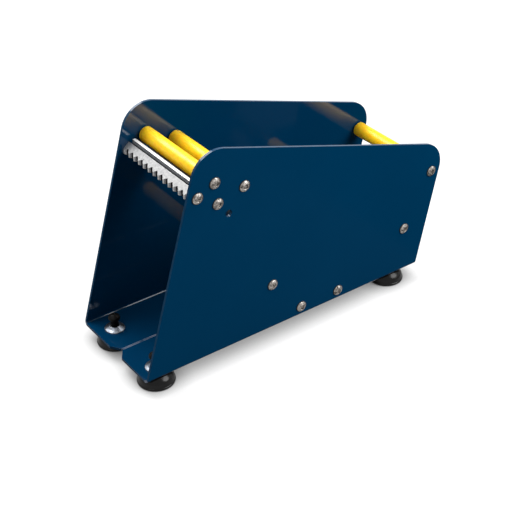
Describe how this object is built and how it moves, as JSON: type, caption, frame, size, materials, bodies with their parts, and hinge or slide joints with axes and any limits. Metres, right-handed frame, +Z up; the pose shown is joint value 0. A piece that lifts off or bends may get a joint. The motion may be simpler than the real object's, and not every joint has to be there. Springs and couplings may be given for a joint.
{
  "type": "label dispenser machine",
  "caption": "Table-top dispenser for a roll of labels: bent side plates on suction feet, free-turning yellow rollers between them and a toothed tear bar at the front.",
  "frame": {"origin": "middle of the base, on the table under the machine", "axes": "+Z up from the table, -Y the way the labels come off, +X towards the right-hand side plate"},
  "size_m": [0.1122, 0.3268, 0.2143],
  "materials": {
    "blue_paint": "gloss dark blue baked enamel",
    "steel": "turned steel",
    "yellow_plastic": "smooth yellow plastic tube",
    "aluminium": "milled aluminium",
    "screw_steel": "plated steel button heads",
    "black_rubber": "glossy black rubber",
    "chrome": "polished chrome"
  },
  "bodies": {
    "frame": {"right_side_plate": "blue_paint", "left_side_plate": "blue_paint", "front_rod": "steel", "second_rod": "steel", "rear_rod": "steel", "front_cradle_rod": "steel", "rear_cradle_rod": "steel", "front_floor_rod": "steel", "rear_floor_rod": "steel", "tear_bar": "aluminium", "guide_strip": "aluminium", "right_side_screws": "screw_steel", "left_side_screws": "screw_steel", "front_right_suction_cup": "black_rubber", "front_left_suction_cup": "black_rubber", "rear_right_suction_cup": "black_rubber", "rear_left_suction_cup": "black_rubber", "foot_washers": "steel", "foot_ferrules": "chrome"},
    "front_roller": {"front_sleeve": "yellow_plastic"},
    "second_roller": {"second_sleeve": "yellow_plastic"},
    "rear_roller": {"rear_sleeve": "yellow_plastic"},
    "front_cradle_roller": {"front_cradle_sleeve": "yellow_plastic"},
    "rear_cradle_roller": {"rear_cradle_sleeve": "yellow_plastic"},
    "front_floor_roller": {"front_floor_sleeve": "yellow_plastic"},
    "rear_floor_roller": {"rear_floor_sleeve": "yellow_plastic"}
  },
  "joints": [
    {"name": "front_roller_spin", "type": "hinge", "parent": "frame", "child": "front_roller", "pos_m": [0, -0.09011, 0.1849], "axis": [1, 0, 0], "continuous": true},
    {"name": "second_roller_spin", "type": "hinge", "parent": "frame", "child": "second_roller", "pos_m": [0, -0.06091, 0.1721], "axis": [1, 0, 0], "continuous": true},
    {"name": "rear_roller_spin", "type": "hinge", "parent": "frame", "child": "rear_roller", "pos_m": [0, 0.15244, 0.1132], "axis": [1, 0, 0], "continuous": true},
    {"name": "front_cradle_roller_spin", "type": "hinge", "parent": "frame", "child": "front_cradle_roller", "pos_m": [0, -0.03123, 0.061], "axis": [1, 0, 0], "continuous": true},
    {"name": "rear_cradle_roller_spin", "type": "hinge", "parent": "frame", "child": "rear_cradle_roller", "pos_m": [0, 0.12317, 0.061], "axis": [1, 0, 0], "continuous": true},
    {"name": "front_floor_roller_spin", "type": "hinge", "parent": "frame", "child": "front_floor_roller", "pos_m": [0, 0.00167, 0.0232], "axis": [1, 0, 0], "continuous": true},
    {"name": "rear_floor_roller_spin", "type": "hinge", "parent": "frame", "child": "rear_floor_roller", "pos_m": [0, 0.04457, 0.0232], "axis": [1, 0, 0], "continuous": true}
  ]
}
